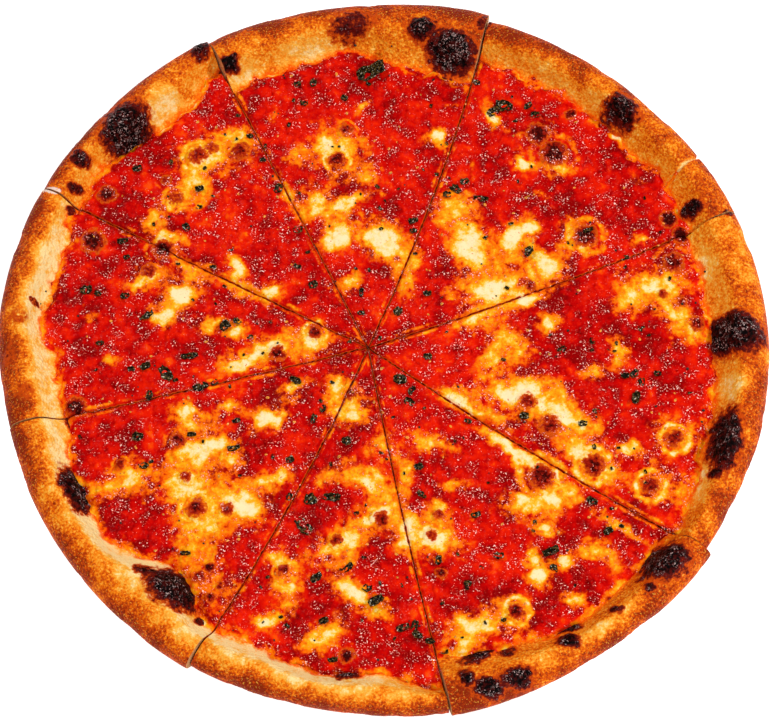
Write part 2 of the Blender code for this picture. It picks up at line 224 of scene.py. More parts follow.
# Where mozzarella shows: middle, size along and across, turn, and how pale
Patch = namedtuple("Patch", "x y long wide turn_deg pale")
PATCHES = [Patch(*row) for row in [
    # slice 1
    (38, 46, 30, 15, 112, 0.9), (47, 25, 26, 11, 12, 0.9), (31, 64, 13, 10, 0, 0.3),
    (57, 48, 14, 9, 62, 1.0), (71, 36, 18, 11, -35, 0.9), (64, 55, 10, 9, 0, 1.0),
    (82, 52, 14, 6, 70, 0.6), (49, 110, 13, 5, -65, 0.8), (62, 86, 10, 6, -20, 0.9),
    (77, 83, 11, 6, -10, 0.6), (88, 44, 9, 5, 20, 0.4), (113, 48, 9, 5, 0, 0.5),
    # slice 2
    (-22, 94, 20, 19, 0, 0.6), (-17, 66, 24, 6, 20, 0.7), (-20, 50, 15, 12, 60, 0.9),
    (0, 48, 19, 14, 125, 1.0), (-13, 28, 7, 6, 0, 0.6), (24, 98, 10, 8, 0, 0.8),
    (-9, 114, 7, 5, 0, 0.5), (-30, 66, 8, 14, 20, 0.6), (10, 32, 8, 20, 0, 0.4),
    (-40, 90, 7, 9, 0, 0.3), (-8, 80, 10, 6, 30, 0.4),
    # slice 3
    (-80, 89, 24, 18, 30, 0.6), (-64, 98, 13, 9, -20, 0.5), (-96, 49, 13, 9, -30, 0.6),
    (-65, 34, 7, 17, 8, 0.8), (-92, 66, 12, 8, 0, 0.5), (-49, 23, 9, 8, 0, 0.8),
    (-83, 74, 8, 14, 20, 0.5), (-42, 70, 5, 18, 28, 0.4), (-102, 58, 9, 6, 0, 0.4),
    # slice 4
    (-106, 29, 14, 7, 10, 0.5), (-88, 22, 16, 12, 35, 1.0), (-96, 13, 12, 8, 20, 0.8),
    (-76, 6, 9, 8, 0, 0.5), (-63, 5, 8, 6, 0, 0.7), (-61, -10, 20, 7, 18, 0.9),
    (-49, -3, 16, 9, 10, 0.8), (-30, 2, 15, 12, 0, 0.7), (-118, -8, 6, 4, 0, 0.4),
    (-84, 35, 16, 6, -25, 0.4), (-58, 22, 14, 4, -28, 0.3),
    # slice 5
    (-82, -40, 10, 7, 0, 0.6), (-78, -50, 23, 11, 20, 0.9), (-108, -62, 13, 11, 60, 0.7),
    (-83, -66, 22, 16, 0, 0.6), (-60, -74, 19, 14, -20, 0.9), (-77, -84, 17, 16, 0, 0.5),
    (-64, -54, 7, 6, 0, 0.7), (-49, -36, 13, 9, -20, 1.0), (-48, -62, 16, 7, 15, 0.7),
    (-84, -33, 11, 8, 0, 0.8), (-20, -21, 9, 9, 0, 0.6), (-38, -22, 12, 6, 30, 0.4),
    (-66, -30, 9, 5, 0, 0.4), (-75, -108, 16, 22, 30, 0.05), (-120, -68, 8, 18, -60, 0.1),
    # slice 6
    (-7, -64, 19, 9, -30, 0.8), (-2, -78, 20, 10, 30, 1.0), (-14, -90, 12, 9, 40, 0.8),
    (9, -88, 9, 15, 0, 0.6), (-13, -112, 18, 9, -30, 0.8), (-2, -121, 8, 6, 0, 0.5),
    (-42, -100, 14, 9, -25, 0.6), (-40, -112, 11, 8, 0, 0.5), (-48, -125, 12, 7, 10, 0.7),
    (-25, -131, 18, 9, 30, 0.6), (-24, -96, 14, 8, -20, 0.4), (-15, -31, 14, 13, 0, 0.6),
    (-23, -62, 7, 6, 0, 0.3), (0, -47, 8, 12, 0, 0.3), (-62, -134, 12, 6, -40, 0.4),
    # slice 7
    (54, -49, 26, 5, -32, 0.9), (68, -60, 28, 5, -35, 0.8), (61, -74, 20, 12, -5, 0.6),
    (73, -72, 9, 6, 0, 0.7), (68, -85, 9, 5, 0, 0.8), (62, -96, 6, 7, 0, 0.7),
    (65, -106, 9, 11, 0, 1.0), (77, -100, 8, 6, 0, 0.9), (91, -95, 14, 8, -20, 0.4),
    (79, -116, 8, 6, 0, 0.5), (37, -127, 23, 10, 10, 0.8), (19, -47, 15, 7, -10, 0.5),
    (9, -60, 6, 11, 0, 0.4), (23, -77, 8, 7, 0, 0.6), (21, -89, 22, 12, -15, 0.8),
    (54, -121, 11, 11, 0, 0.3), (36, -30, 26, 4, -30, 0.5), (30, -66, 12, 5, 0, 0.2),
    (100, -84, 22, 4, -32, 0.3), (33, -137, 14, 8, 30, 0.5),
    # slice 8
    (62, 20, 12, 6, 10, 0.9), (72, 8, 9, 8, 0, 0.6), (120, 26, 22, 15, 0, 0.7),
    (106, 20, 12, 9, 30, 0.5), (102, -6, 6, 13, 0, 0.4), (58, -24, 26, 15, 0, 0.9),
    (78, -34, 24, 13, -25, 0.8), (38, 8, 9, 8, 0, 0.6), (32, -26, 11, 7, 0, 0.5),
    (84, -50, 20, 10, -30, 0.7), (104, -50, 9, 5, 0, 0.6), (46, 14, 22, 8, 22, 0.4),
    (56, 0, 16, 8, -40, 0.5), (48, -8, 12, 9, 60, 0.6), (126, 12, 10, 9, 0, 0.6),
    (92, -60, 16, 9, -30, 0.4), (116, -66, 14, 13, 0, 0.2), (124, -44, 14, 13, 0, 0.3),
    (90, -14, 9, 7, 0, 0.3), (134, -70, 12, 18, -20, 0.7), (133, 6, 10, 12, 0, 0.5),
]]

# Toasted bubbles in the cheese: middle, size, how dark, and how pale a ring stands round it
Bubble = namedtuple("Bubble", "x y size dark ring")
BUBBLES = [Bubble(*row) for row in [
    (-83, 89, 10, 0.55, 0.9), (-77, 93, 7, 0.5, 0.5), (-92, 68, 8, 0.45, 0.8),
    (-64, 91, 10, 0.6, 0.3), (-123, 70, 10, 0.85, 0.2), (-97, 77, 6, 0.6, 0.4),
    (-17, 102, 7, 0.6, 0.6), (-21, 87, 8, 0.8, 0.9), (-97, 43, 11, 0.85, 0.4),
    (-103, 33, 8, 0.6, 0.4), (-129, 48, 10, 0.9, 0.1), (-30, 4, 7, 0.75, 1.0),
    (-46, -6, 8, 0.7, 0.4), (-88, -46, 8, 0.7, 0.5), (-112, -57, 5, 0.6, 0.6),
    (-79, -76, 10, 0.75, 1.0), (-66, -77, 7, 0.7, 0.5), (-84, -62, 6, 0.6, 0.3),
    (-42, -103, 6, 0.7, 0.8), (-14, -25, 6, 0.65, 0.6), (-1, -81, 8, 0.7, 0.3),
    (-20, -90, 6, 0.65, 0.3), (69, 100, 12, 0.9, 0.3), (76, 90, 14, 0.9, 0.5),
    (89, 50, 12, 0.9, 0.7), (84, 110, 6, 0.85, 0.2), (127, 37, 11, 0.75, 0.5),
    (130, 18, 6, 0.65, 0.4), (136, 8, 8, 0.7, 0.1), (67, -62, 13, 0.75, 0.8),
    (20, -88, 6, 0.5, 0.5), (23, -79, 5, 0.5, 0.3), (55, -121, 8, 0.85, 1.0),
    (89, -57, 11, 0.75, 1.0), (113, -66, 9, 0.7, 1.0), (124, -45, 9, 0.65, 1.0),
    (71, -39, 12, 0.6, 0.4), (62, -28, 9, 0.6, 0.4), (95, -116, 6, 0.7, 0.2),
    (24, -105, 6, 0.8, 0.1), (64, 26, 6, 0.6, 0.5), (122, 22, 5, 0.5, 0.3),
    (-132, -31, 11, 0.95, 0.1), (126, 58, 9, 1.0, 0.2), (131, 50, 9, 1.0, 0.1),
    (-128, 47, 13, 0.8, 0.0), (-73, -102, 5, 0.9, 0.3), (-77, -106, 7, 0.7, 0.2),
    (-72, -115, 5, 0.85, 0.2), (-68, -110, 4, 0.7, 0.3), (-15, -140, 8, 0.85, 0.3),
]]

# Herb flakes: middle, length, width and turn
Flake = namedtuple("Flake", "x y long wide turn_deg")
FLAKES = [Flake(*row) for row in [
    (-6, 131, 12, 6, 25), (-39, 125, 3, 2.4, 20), (-32, 126, 3.6, 2.6, 70), (-36, 115, 3.2, 2.4, 0),
    (-18, 118, 3, 2.4, -30), (-60, 99, 3, 2, 0), (-54, 87, 2.8, 1.8, 0), (-95, 86, 2.4, 1.6, 80),
    (-110, 83, 4, 2.6, 20), (-82, 73, 3.6, 2.6, 10), (-82, 64, 2.8, 2, 0), (-87, 54, 3.6, 2.8, -60),
    (-115, 47, 4.4, 2.8, 10), (-113, 40, 2.8, 1.8, 20), (-47, 73, 4, 3, 40), (-38, 53, 4, 2.8, 10),
    (-67, 44, 2.6, 2, 60), (-75, 35, 2.6, 1.8, 0), (-38, 35, 3, 2, -20), (-31, 27, 4, 2.8, 30),
    (-130, 24, 5, 3.6, 10), (-125, 22, 3, 2.2, -20), (-113, 21, 3.8, 2.4, 20),
    (-103, 12, 5.4, 3, 30), (-69, 7, 5, 3.4, 60), (-64, 9, 3.6, 2.4, -30), (-58, 2, 2.6, 2, 0),
    (-84, -7, 6.6, 2.2, 5), (-123, -1, 3.4, 1.8, 0), (-10, 23, 4, 1.8, 80), (-10, 13, 3, 2, 0),
    (54, 114, 7, 4.4, -15), (49, 111, 5, 3.4, 30), (65, 114, 4, 2.2, 40), (68, 110, 3.6, 2.8, 0),
    (42, 126, 3, 2.4, 0), (36, 76, 4, 3, 20), (32, 73, 4.6, 3, -40), (28, 70, 3.4, 2.6, 0),
    (43, 68, 6, 2.4, -5), (13, 57, 4, 2.6, 20), (13, 52, 3.2, 2.4, 0), (23, 80, 3, 2, 0),
    (19, 22, 3.4, 2.4, 0), (6, 14, 4, 3.2, 60), (45, 49, 2.8, 1.8, -20), (64, 42, 4.4, 3.2, 60),
    (90, 52, 4.6, 1.8, 20), (106, 40, 3.4, 2.2, 0), (112, 6, 3, 2.4, 0), (77, -4, 4, 2.2, 40),
    (19, -7, 3.6, 2.6, -10), (7, -18, 5.2, 4.2, 0), (12, -23, 4, 2.4, 60), (11, -28, 4.4, 2.8, -30),
    (60, -35, 3.8, 3, 0), (91, -32, 3, 1.8, 0), (85, -38, 3.6, 2.2, 0), (36, -37, 3, 2, -20),
    (104, -16, 3.4, 2.2, 0), (108, -15, 4, 3, 50), (111, -19, 3.4, 2.4, 80), (108, -26, 5, 3, 70),
    (118, -15, 3, 2.2, 0), (15, -58, 3.6, 3, 20), (16, -70, 4, 2.4, -40), (39, -79, 4, 2.6, 20),
    (88, -73, 4.6, 3, -25), (94, -86, 4, 3, 30), (70, -96, 6.4, 3.2, 20), (71, -102, 3, 2.4, 0),
    (48, -97, 4, 2.8, 0), (23, -99, 4, 2.6, 80), (35, -109, 3, 2, 0), (8, -128, 5, 3.2, 20),
    (13, -127, 4.4, 2.8, 70), (14, -131, 4, 2.6, -30), (19, -134, 3.4, 2.4, 0), (25, -138, 3, 2, 0),
    (-94, -15, 7.4, 4.4, -50), (-103, -12, 4.4, 2.6, 20), (-109, -13, 3.2, 2.2, 0),
    (-79, -21, 6.4, 4.2, 20), (-73, -19, 3, 2, 30), (-101, -25, 4, 2.6, 80),
    (-38, -18, 5, 2.4, -30), (-105, -44, 4.4, 3.4, 0), (-82, -43, 3.6, 1.8, 0),
    (-63, -37, 3.4, 2, 20), (-26, -31, 3.4, 2.4, 70), (-30, -36, 3.8, 2.2, 70),
    (-16, -46, 3.6, 3, 0), (-64, -49, 5, 2.4, 10), (-40, -54, 3.2, 2.6, 20),
    (-102, -57, 4, 2.4, 10), (-31, -72, 5, 4.4, 0), (-22, -71, 7, 3.2, -5), (-40, -71, 3, 2.2, 60),
    (-34, -84, 8, 4.8, -45), (-83, -96, 4, 1.8, 0), (-15, -102, 5, 2.4, 40), (-28, -107, 5, 3, 40),
    (-7, -111, 4, 3, 0), (-3, -117, 6.4, 3.2, 30), (-25, -125, 3.6, 2.4, 20), (-21, -142, 4, 2, 0),
]]

# Grains of pepper that stand out
PEPPERCORNS = [
    (-45, 129), (-23, 94), (-20, 94), (-24, 55), (118, 15), (130, 17), (136, 18), (141, 33), (131, -13),
    (137, -32), (102, 43), (80, 5), (-148, 24), (-150, 18), (-46, -1), (-55, 8), (32, -21), (-95, -66),
]


def smooth(share):
    """A share from 0 to 1, eased at both ends."""
    share = np.clip(share, 0.0, 1.0)
    return share * share * (3.0 - 2.0 * share)


def ramp(value, low, high):
    """0 up to low and 1 from high, smoothly between."""
    return smooth((value - low) / (high - low))


def mix(a, b, share):
    """a at share 0 and b at share 1."""
    return a + (b - a) * share


# Large odd numbers that stir a place's digits, and the span of what they give
STIR_X = 374761393
STIR_Y = 668265263
STIR_SEED = 974711
STIR_ONCE = 1274126177
STIR_AGAIN = 2246822519
WORD = 0xFFFFFFFF


def scattered(ix, iy, seed):
    """A fixed number between 0 and 1 for each pair of whole numbers. Each use has its own seed."""
    n = ix.astype(np.int64) * STIR_X + iy.astype(np.int64) * STIR_Y + seed * STIR_SEED
    n = (n ^ (n >> 13)) * STIR_ONCE & WORD
    n = (n ^ (n >> 16)) * STIR_AGAIN & WORD
    return (n ^ (n >> 15)) / (WORD + 1.0)


def waves(x, y, size, seed=0):
    """Smooth, seeded swellings about one size apart, mostly between -1 and 1."""
    gx, gy = x / size, y / size
    ix, iy = np.floor(gx), np.floor(gy)
    fx, fy = gx - ix, gy - iy
    ux, uy = smooth(fx), smooth(fy)
    corners = []
    for cx, cy in ((0, 0), (1, 0), (0, 1), (1, 1)):
        turn = 2 * math.pi * scattered(ix + cx, iy + cy, seed)
        corners.append((fx - cx) * np.cos(turn) + (fy - cy) * np.sin(turn))
    return 1.6 * mix(mix(corners[0], corners[1], ux), mix(corners[2], corners[3], ux), uy)


def rough(x, y, size, seed=0, octaves=3):
    """Waves with ever smaller ones over them."""
    return sum(waves(x, y, size / 2**k, seed + 7 * k) / 2**k for k in range(octaves)) / 1.5


def grains(x, y, size, seed=0):
    """How far each place is from the nearest of many seeded middles, as a share of size."""
    ix, iy = np.floor(x / size), np.floor(y / size)
    nearest = np.full(x.shape, 9.0)
    for cx in (-1, 0, 1):
        for cy in (-1, 0, 1):
            mx = ix + cx + 0.1 + 0.8 * scattered(ix + cx, iy + cy, seed)
            my = iy + cy + 0.1 + 0.8 * scattered(ix + cx, iy + cy, seed + 1)
            nearest = np.minimum(nearest, np.hypot(x / size - mx, y / size - my))
    return nearest


def read_evenly(values, share):
    """A smooth reading of values that stand at even steps from share 0 to share 1."""
    values = np.array(values, float)
    place = np.clip(share, 0.0, 1.0) * (len(values) - 1)
    first = np.minimum(place.astype(int), len(values) - 2)
    return mix(values[first], values[first + 1], smooth(place - first))


def oval(x, y, feature):
    """0 in the middle of an oval feature, 1 on its edge, and more beyond."""
    turn = math.radians(feature.turn_deg)
    dx, dy = x - feature.x, y - feature.y
    along = (dx * math.cos(turn) + dy * math.sin(turn)) / (feature.long / 2)
    across = (dy * math.cos(turn) - dx * math.sin(turn)) / (feature.wide / 2)
    return np.hypot(along, across)


def nudged(x, y, amount, size, seeds):
    """Places moved a little to and fro, so that an edge read there is ragged."""
    return x + amount * rough(x, y, size, seeds[0]), y + amount * rough(x, y, size, seeds[1])


def blister_relief(x, y):
    """How far the rim's bubbles lift it."""
    relief = np.zeros(x.shape)
    for spot in BLISTERS:
        relief = np.maximum(relief, spot.rise * (1.0 - smooth(oval(x, y, spot))))
    return relief


def char_at(x, y):
    """How charred the dough is, from 0 to 1, with ragged edges."""
    ragged_x, ragged_y = nudged(x, y, 1.6, 6.0, (31, 47))
    char = np.zeros(x.shape)
    for spot in CHARS:
        edge = oval(ragged_x, ragged_y, spot) + 0.2 * rough(x, y, 2.5, 3)
        char = np.maximum(char, spot.black * ramp(edge, 1.65, 0.35))
    return char


def tone_at(x, y):
    """How much browner or paler the rim is than its slice's plain browning."""
    ragged_x, ragged_y = nudged(x, y, 2.5, 9.0, (33, 49))
    return sum(spot.change * ramp(oval(ragged_x, ragged_y, spot), 1.4, 0.2) for spot in TONES)


class Slice:
    """Where things are on a slice, by the share across it and the distance from where the cuts meet."""

    def __init__(self, number):
        self.number = number
        self.first = CUTS[number - 1]
        self.second = CUTS[number % len(CUTS)]
        if self.second.rim_deg < self.first.rim_deg:
            self.second = Cut(self.second.tip_deg + 360.0, self.second.rim_deg + 360.0)
        self.rim = RIMS[number - 1]
        self.degrees = self.second.rim_deg - self.first.rim_deg
        self.half_angle = math.radians(self.second.tip_deg - self.first.tip_deg) / 2

    def angle(self, across, radius, gap=CUT_WIDTH):
        """The direction of a place whose slice keeps half a gap from each of its cuts."""
        inset = np.minimum(np.arcsin(np.minimum(1.0, gap / 2 / radius)), 0.9 * self.half_angle)
        reach = radius / RIM_RADIUS
        low = np.radians(mix(self.first.tip_deg, self.first.rim_deg, reach)) + inset
        high = np.radians(mix(self.second.tip_deg, self.second.rim_deg, reach)) - inset
        return mix(low, high, across)

    def place(self, across, radius, gap=CUT_WIDTH):
        angle = self.angle(across, radius, gap)
        return CUT_CENTRE[0] + radius * np.cos(angle), CUT_CENTRE[1] + radius * np.sin(angle)

    def outer_radius(self, across):
        angle = self.angle(across, RIM_RADIUS)
        along = CUT_CENTRE[0] * np.cos(angle) + CUT_CENTRE[1] * np.sin(angle)
        reach = read_evenly(self.rim.radii, across) - SKIN_CLEARANCE
        return -along + np.sqrt(along**2 - CUT_CENTRE[0] ** 2 - CUT_CENTRE[1] ** 2 + reach**2)

    def rim_width(self, across):
        return read_evenly(self.rim.widths, across)

    def rim_height(self, across):
        from_cut = self.degrees * np.minimum(across, 1.0 - across)
        pressed = CUT_PRESS * (1.0 - smooth(from_cut / CUT_PRESS_DEG))
        return read_evenly(self.rim.heights, across) * (1.0 - pressed)

    def from_cut(self, across, radius):
        """Distance to the nearer cut."""
        return np.minimum(across, 1.0 - across) * np.radians(self.degrees) * radius


SLICES = [Slice(number) for number in range(1, len(CUTS) + 1)]

# Rows of a slice's dough, from the tip along its underside, round the rim and back to the tip
SIDE_FROM = 10
TOP_FROM = SIDE_FROM + 8
SLOPE_FROM = TOP_FROM + 34
FLAT_FROM = SLOPE_FROM + 34
DOUGH_ROWS = FLAT_FROM + 6


def passed(row, first, last):
    """The share of the way from the first row to the last."""
    return np.clip((row - first) / (last - first), 0.0, 1.0)


def slope_height(height, fall):
    """Height of the inner slope, from the crest at fall 0 to its foot at fall 1."""
    return mix(DOUGH_THICKNESS, height, 0.5 + 0.5 * np.cos(math.pi * fall))


def dough_section(piece, across, along):
    """The dough's plain form: distance from where the cuts meet, height, and which way it faces."""
    width, height, outer = piece.rim_width(across), piece.rim_height(across), piece.outer_radius(across)
    half_width, side, undercut = CREST_AT * width, SIDE_HEIGHT * height, UNDERCUT * height
    row = along * DOUGH_ROWS
    below, above, inner = row <= SIDE_FROM, row > TOP_FROM, row > SLOPE_FROM
    lowest = math.asin(SIDE_HEIGHT / UNDERCUT)
    low_turn = lowest * (1.0 - passed(row, SIDE_FROM, TOP_FROM))
    turn = math.pi / 2 * passed(row, TOP_FROM, SLOPE_FROM)
    fall = passed(row, SLOPE_FROM, FLAT_FROM)

    foot = outer - half_width * (1.0 - math.cos(lowest))
    radius = outer - half_width * (1.0 - np.cos(low_turn))
    radius = np.where(below, mix(TIP_RADIUS, foot, passed(row, 0, SIDE_FROM)), radius)
    radius = np.where(above, outer - half_width * (1.0 - np.cos(turn)), radius)
    radius = np.where(inner, outer - mix(half_width, width, fall), radius)
    flat = mix(outer - width, TIP_RADIUS, passed(row, FLAT_FROM, DOUGH_ROWS))
    radius = np.where(row > FLAT_FROM, flat, radius)

    z = np.where(below, 0.0, side - undercut * np.sin(low_turn))
    z = np.where(above, side + (height - side) * np.sin(turn), z)
    z = np.where(inner, slope_height(height, fall), z)
    outwards = np.where(below, 0.0, np.where(above, np.cos(turn), np.cos(low_turn)))
    upwards = np.where(above, np.sin(turn), -np.sin(low_turn) * 0.4)
    upwards = np.where(below, 0.0, upwards)
    weight = ramp(row, SIDE_FROM, SIDE_FROM + 4) * (1.0 - 0.7 * ramp(fall, 0.8, 1.0))
    return radius, z, outwards, upwards, weight


def dough_height(piece, across, radius):
    """Height of the dough's upper side over the inner slope and the flat."""
    width, outer = piece.rim_width(across), piece.outer_radius(across)
    half_width = CREST_AT * width
    fall = np.clip((outer - radius - half_width) / (width - half_width), 0.0, 1.0)
    return slope_height(piece.rim_height(across), fall)


def slit_at(x, y):
    """1 in the narrow slit that the cutter left in the rim, and 0 away from it."""
    nearest = np.full(x.shape, 99.0)
    for (ax, ay), (bx, by) in zip(SLIT, SLIT[1:]):
        dx, dy = bx - ax, by - ay
        share = np.clip(((x - ax) * dx + (y - ay) * dy) / (dx**2 + dy**2), 0.0, 1.0)
        nearest = np.minimum(nearest, np.hypot(x - mix(ax, bx, share), y - mix(ay, by, share)))
    return ramp(nearest + 0.25 * waves(x, y, 2.0, 161), SLIT_HALF_WIDTH, 0.5)


def dough_relief(x, y, z, char):
    """Bumps and pits of the baked skin, over the broad blisters."""
    swell = SWELL * rough(x, y + z, SWELL_SIZE, 5, 2)
    pores = PORE * rough(x + z, y - z, PORE_SIZE, 11)
    dome = BURNT_DOME * ramp(char, 0.15, 0.9)
    cracks = 0.7 - 1.3 * grains(x + z, y + z, CRACK_SIZE, 21) + 0.6 * rough(x, y, 1.6, 23)
    crackle = ramp(char, 0.3, 0.7) * cracks
    return swell + pores + blister_relief(x, y) + dome + crackle - SLIT_DEPTH * slit_at(x, y)


def grid_piece(name, columns, rows, shape):
    """A grid primitive set out by shape(across, along), which gives x, y, z and the layers.

    Returns the piece, and each corner's share across and along the grid.
    """
    bpy.ops.object.select_all(action="DESELECT")
    bpy.ops.mesh.primitive_grid_add(x_subdivisions=columns, y_subdivisions=rows, size=1.0)
    piece = bpy.context.object
    piece.name = piece.data.name = name
    corners = np.empty(len(piece.data.vertices) * 3)
    piece.data.vertices.foreach_get("co", corners)
    across, along = np.clip(corners.reshape(-1, 3)[:, :2].T + 0.5, 0.0, 1.0)
    x, y, z, layers = shape(across, along)
    piece.data.vertices.foreach_set("co", np.column_stack((x, y, z)).ravel() * MM)
    for layer, values in layers.items():
        piece.data.attributes.new(layer, "FLOAT", "POINT").data.foreach_set("value", values)
    piece.data.uv_layers[0].name = "OFBake"
    return piece, across, along


def select_corners(piece, chosen):
    """Selects the corners that are chosen, and leaves the piece in edit mode."""
    bpy.ops.object.mode_set(mode="OBJECT")
    mesh = piece.data
    mask = np.zeros(len(mesh.vertices), bool)
    mask[: len(chosen)] = chosen
    mesh.edges.foreach_set("select", np.zeros(len(mesh.edges), bool))
    mesh.polygons.foreach_set("select", np.zeros(len(mesh.polygons), bool))
    mesh.vertices.foreach_set("select", mask)
    bpy.ops.object.mode_set(mode="EDIT")
    bpy.ops.mesh.select_mode(type="VERT")


def finish_off():
    """Turns the active piece's faces outwards and shades it smooth."""
    bpy.ops.object.mode_set(mode="EDIT")
    bpy.ops.mesh.select_all(action="SELECT")
    bpy.ops.mesh.normals_make_consistent(inside=False)
    bpy.ops.object.mode_set(mode="OBJECT")
    bpy.ops.object.shade_smooth_by_angle(angle=SMOOTH_UP_TO)


def browning(piece, across, row, x, y):
    """How brown the upper side and the rim are, from 0 for pale to 1 for dark."""
    outer, crest, inner = (
        read_evenly(values, across) for values in (piece.rim.outer, piece.rim.crest, piece.rim.inner)
    )
    round_rim = (row - TOP_FROM) / (FLAT_FROM - TOP_FROM)
    over = mix(mix(outer, crest, ramp(round_rim, *OUTER_TO_CREST)), inner, ramp(round_rim, *CREST_TO_INNER))
    mottles = MOTTLE * rough(x, y, MOTTLE_SIZE, 61, 3)
    over = over + mottles * ramp(round_rim, 0.75, 0.5) + 0.10 * rough(x, y, 7.0, 63, 2) + tone_at(x, y)
    # Darker at the foot of the inner slope, next to the sauce
    over = over + FOOT_BAND_DARKENING * ramp(round_rim, *FOOT_BAND)
    return mix(over, SLIT_BROWNING, slit_at(x, y))


def dough_shape(piece, across, along):
    """x, y, z and layers of the dough's skin."""
    radius, z, outwards, upwards, weight = dough_section(piece, across, along)
    # The cutter's wheel left a cut that is narrower at the bottom.
    gap = mix(CUT_FLOOR, CUT_WIDTH, np.clip(z / DOUGH_THICKNESS, 0.0, 1.0))
    x, y = piece.place(across, radius, gap)
    row = along * DOUGH_ROWS
    below, upper = row < SIDE_FROM, row > TOP_FROM
    under = 0.55 + 0.35 * rough(x, y, 9.0, 67, 3)
    scorched = 0.75 * ramp(rough(x, y, 12.0, 71, 3), 0.3, 0.7)
    smeared = ramp(oval(x, y, FLOUR_SMEAR) + 0.3 * rough(x, y, 2.0, 73), 1.3, 0.5)
    stained = ramp(spill_at(piece, across, radius, x, y), 3.2, -0.4)
    char = char_at(x, y)
    layers = {
        "bake": np.where(below, under, browning(piece, across, row, x, y)),
        "char": np.where(below, scorched, char * upper),
        "stain": stained * (row > SLOPE_FROM),
        "flour": smeared * upper,
    }
    lift = weight * dough_relief(x, y, z, char)
    x, y = piece.place(across, radius + outwards * np.minimum(lift, 0.0), gap)
    z = np.maximum(z + upwards * lift, 0.0)
    return x, y, np.where(z > SOFT_TOP, SOFT_TOP + SOFTENED * (z - SOFT_TOP), z), layers


def ends(share):
    """The corners at the first end of a grid, and those at its other end."""
    return share < 1e-4, share > 1 - 1e-4


def make_dough(piece, finishes):
    """A slice's base and rim, closed at the tip and at both cuts."""
    columns = round(math.radians(piece.degrees) * RIM_RADIUS / DOUGH_STEP)
    dough, across, along = grid_piece(
        f"dough_{piece.number}", columns, DOUGH_ROWS, lambda u, v: dough_shape(piece, u, v)
    )
    first, last = ends(along)
    select_corners(dough, first | last)
    bpy.ops.mesh.bridge_edge_loops()
    for end in ends(across):
        select_corners(dough, end)
        bpy.ops.mesh.edge_face_add()
        bpy.ops.object.mode_set(mode="OBJECT")
        dough.data.polygons[len(dough.data.polygons) - 1].material_index = 1
    finish_off()
    for finish in finishes:
        dough.data.materials.append(finish)
    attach(dough, "root")
    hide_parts(f"crust_{piece.number}")


def cheese_at(x, y):
    """How far mozzarella covers the sauce: 0 is bare sauce, 0.5 an orange wash, and 1 pale cheese."""
    wx = x + 3.4 * rough(x, y, 13.0, 101) + 1.8 * rough(x, y, 5.0, 103)
    wy = y + 3.4 * rough(x, y, 13.0, 107) + 1.8 * rough(x, y, 5.0, 109)
    without, washed = np.ones(x.shape), np.ones(x.shape)
    for patch in PATCHES:
        edge = oval(wx, wy, patch)
        without *= 1.0 - (0.45 + 0.50 * patch.pale) * ramp(edge, 1.75, 0.25)
        washed *= 1.0 - 0.32 * ramp(edge, 2.5, 1.0)
    wash = 0.32 * ramp(rough(x, y, 15.0, 111), 0.1, 0.75)
    return np.maximum(1.0 - without, 1.0 - washed * (1.0 - wash))


def bubbles_at(x, y):
    """How toasted the bubbles are, how pale the rings round them, and how far they rise, at each place."""
    toast_and_cut_shade, ring, relief = np.zeros(x.shape), np.zeros(x.shape), np.zeros(x.shape)
    wx = x + 0.7 * waves(x, y, 4.0, 113) + 0.35 * waves(x, y, 1.7, 115)
    wy = y + 0.7 * waves(x, y, 4.0, 127) + 0.35 * waves(x, y, 1.7, 129)
    broken = 0.95 + 0.3 * waves(x, y, 3.1, 119)
    for bubble in BUBBLES:
        away = np.hypot(wx - bubble.x, wy - bubble.y) / (bubble.size / 2)
        toast_and_cut_shade = np.maximum(toast_and_cut_shade, bubble.dark * ramp(away, 1.15, 0.25))
        halo = np.exp(-(((away - RING_AT) / RING_WIDTH) ** 2))
        ring = np.maximum(ring, bubble.ring * broken * halo)
        relief = np.maximum(relief, BUBBLE_RISE * np.sqrt(np.clip(1.0 - (away / 1.25) ** 2, 0.0, 1.0)))
        crest = np.exp(-(((away - RING_CREST_AT) / RING_CREST_WIDTH) ** 2))
        relief = np.maximum(relief, RING_RISE * bubble.ring * crest)
    return toast_and_cut_shade, ring, relief


def domes(x, y, size, seed):
    """Rounded lumps about one size apart: 1 on their tops and 0 between them."""
    return np.sqrt(np.clip(1.0 - (grains(x, y, size, seed) / 0.72) ** 2, 0.0, 1.0))


def topping_reach(piece, across):
    """How far out the topping's mesh goes, some way under the slope of the rim."""
    return piece.outer_radius(across) - piece.rim_width(across) + SAUCE_OVERHANG


def spill_at(piece, across, radius, x, y):
    """How far a place is beyond the wavy edge of the sauce, and below 0 within it."""
    foot = topping_reach(piece, across) - SAUCE_OVERHANG
    return radius - foot - 1.5 - 3.4 * rough(x, y, 13.0, 131, 3) - 0.8 * waves(x, y, 3.0, 135)


